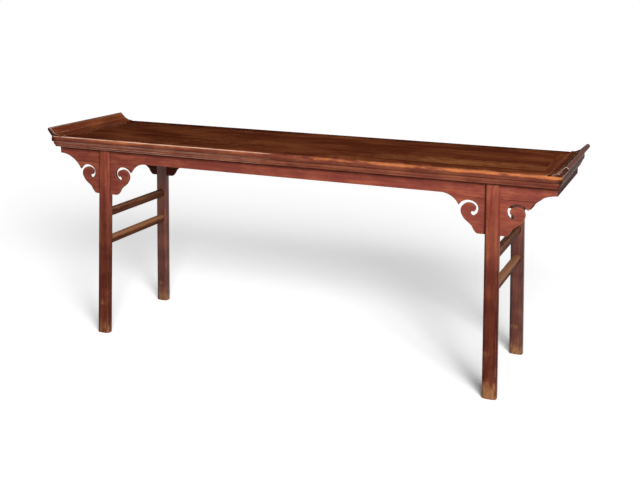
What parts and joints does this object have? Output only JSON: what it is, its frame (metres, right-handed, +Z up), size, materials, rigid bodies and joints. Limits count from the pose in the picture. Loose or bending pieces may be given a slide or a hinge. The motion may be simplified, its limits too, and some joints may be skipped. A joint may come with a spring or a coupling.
{
  "type": "altar table",
  "caption": "Long recessed-leg altar table with everted end flanges, moulded mitred frame, cloud-scroll spandrels, splayed oval legs and side stretchers.",
  "frame": {"origin": "on the floor under the middle of the top, at the bottom centre of the bounding box", "axes": "+X along the table to its right end, +Y to its back, +Z up; the front faces -Y"},
  "size_m": [2.09, 0.521, 0.8635],
  "materials": {
    "top_board": "waxed, soft sheen, worn",
    "moulded_rail": "waxed, rubbed through on the arrises",
    "flange_wood": "waxed, soft sheen",
    "apron_wood": "waxed, matt to satin",
    "leg_wood": "waxed, worn pale at the feet",
    "stretcher_wood": "waxed, rubbed pale on top",
    "underside_wood": "unpolished"
  },
  "bodies": {
    "root": {"top_panel": "top_board", "front_rail": "moulded_rail", "back_rail": "moulded_rail", "left_end_rail": "moulded_rail", "left_flange": "flange_wood", "right_end_rail": "moulded_rail", "right_flange": "flange_wood", "batten_1": "underside_wood", "batten_2": "underside_wood", "batten_3": "underside_wood", "batten_4": "underside_wood", "left_end_apron": "apron_wood", "left_upper_stretcher": "stretcher_wood", "left_lower_stretcher": "stretcher_wood", "right_end_apron": "apron_wood", "right_upper_stretcher": "stretcher_wood", "right_lower_stretcher": "stretcher_wood", "front_apron": "apron_wood", "front_left_leg": "leg_wood", "front_left_spandrel": "apron_wood", "front_right_leg": "leg_wood", "front_right_spandrel": "apron_wood", "back_apron": "apron_wood", "back_left_leg": "leg_wood", "back_left_spandrel": "apron_wood", "back_right_leg": "leg_wood", "back_right_spandrel": "apron_wood"}
  },
  "joints": []
}
